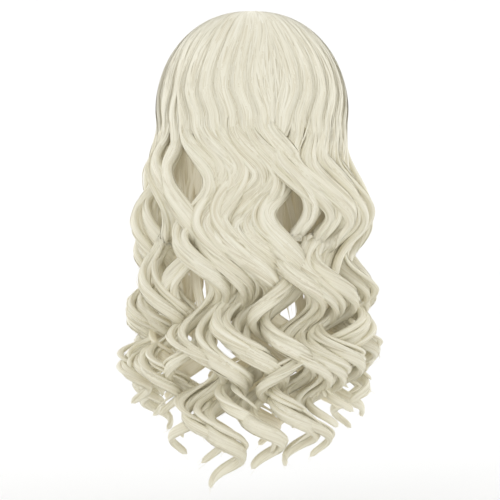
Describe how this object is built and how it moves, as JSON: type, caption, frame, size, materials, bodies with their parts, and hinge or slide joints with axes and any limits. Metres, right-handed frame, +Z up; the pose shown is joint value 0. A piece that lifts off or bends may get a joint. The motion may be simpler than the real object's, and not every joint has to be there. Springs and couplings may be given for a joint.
{
  "type": "long curly wig",
  "caption": "Long pale wig: hair swept from a middle parting over a net cap, then hanging locks that wave and curl.",
  "frame": {"origin": "where the top of the wearer's head meets the inside of the net cap, on the middle line", "axes": "+Z up; +Y the way the wearer faces; -Y the back of the head, which the picture shows; +X the wearer's right"},
  "size_m": [0.2482, 0.2314, 0.4446],
  "materials": {
    "hair": "satin",
    "inner_hair": "satin",
    "cap_net": "matte"
  },
  "bodies": {
    "root": {"cap_net": "cap_net", "crown_back": "hair", "crown_left": "hair", "crown_right": "hair", "inner_left_1": "inner_hair", "inner_left_2": "inner_hair", "inner_left_3": "inner_hair", "inner_middle_1": "inner_hair", "inner_middle_2": "inner_hair", "inner_middle_3": "inner_hair", "inner_right_1": "inner_hair", "inner_right_2": "inner_hair", "inner_right_3": "inner_hair", "left_back_1": "hair", "left_back_2": "hair", "left_back_3": "hair", "left_front_1": "hair", "left_front_2": "hair", "left_front_3": "hair", "left_side_1": "hair", "left_side_2": "hair", "left_side_3": "hair", "middle_back_1": "hair", "middle_back_2": "hair", "middle_back_3": "hair", "middle_back_4": "hair", "right_back_1": "hair", "right_back_2": "hair", "right_back_3": "hair", "right_front_1": "hair", "right_front_2": "hair", "right_front_3": "hair", "right_front_4": "hair", "right_side_1": "hair", "right_side_2": "hair", "right_side_3": "hair", "weft_left": "inner_hair", "weft_middle": "inner_hair", "weft_right": "inner_hair"}
  },
  "joints": []
}
